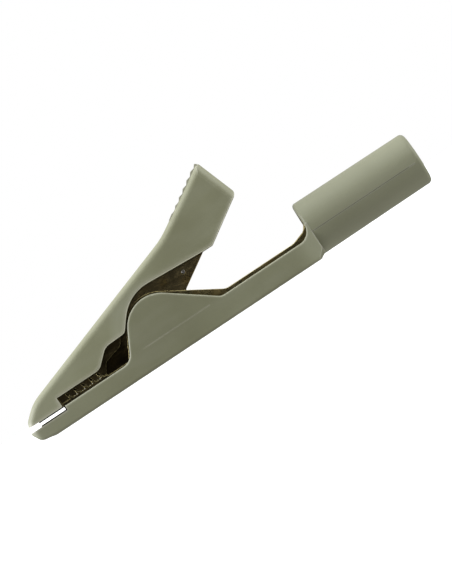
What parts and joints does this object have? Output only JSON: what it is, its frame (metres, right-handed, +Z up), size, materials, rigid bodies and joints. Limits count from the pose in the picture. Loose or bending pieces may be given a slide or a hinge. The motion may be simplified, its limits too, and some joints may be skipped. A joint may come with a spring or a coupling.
{
  "type": "crocodile test clip",
  "caption": "Insulated crocodile test clip with sprung toothed jaws, a ribbed thumb lever and a round sleeve that takes a banana plug.",
  "frame": {"origin": "on the flat underside, below the middle of the clip's length", "axes": "+X from the jaws towards the banana-plug socket, +Y across the clip, +Z up towards the thumb lever"},
  "size_m": [0.076, 0.0094, 0.0238],
  "materials": {
    "insulation": "olive-grey moulded plastic, slightly satin",
    "jaw_steel": "nickel-plated sheet steel",
    "rivet_steel": "nickel-plated steel",
    "spring_steel": "drawn spring wire",
    "socket_metal": "nickel-plated brass"
  },
  "bodies": {
    "base": {"lower_shell": "insulation", "lower_jaw": "jaw_steel", "hinge_rivet": "rivet_steel", "torsion_spring": "spring_steel", "spring_spool": "rivet_steel", "socket_tube": "socket_metal"},
    "lever": {"upper_shell": "insulation", "upper_jaw": "jaw_steel"}
  },
  "joints": [
    {"name": "lever_hinge", "type": "hinge", "parent": "base", "child": "lever", "pos_m": [-0.01112, 0, 0.00512], "axis": [0, 1, 0], "range_deg": [0, 25], "stiffness_Nm_per_rad": 0.029, "springref_deg": -20.05, "deforming": ["torsion_spring"]}
  ]
}
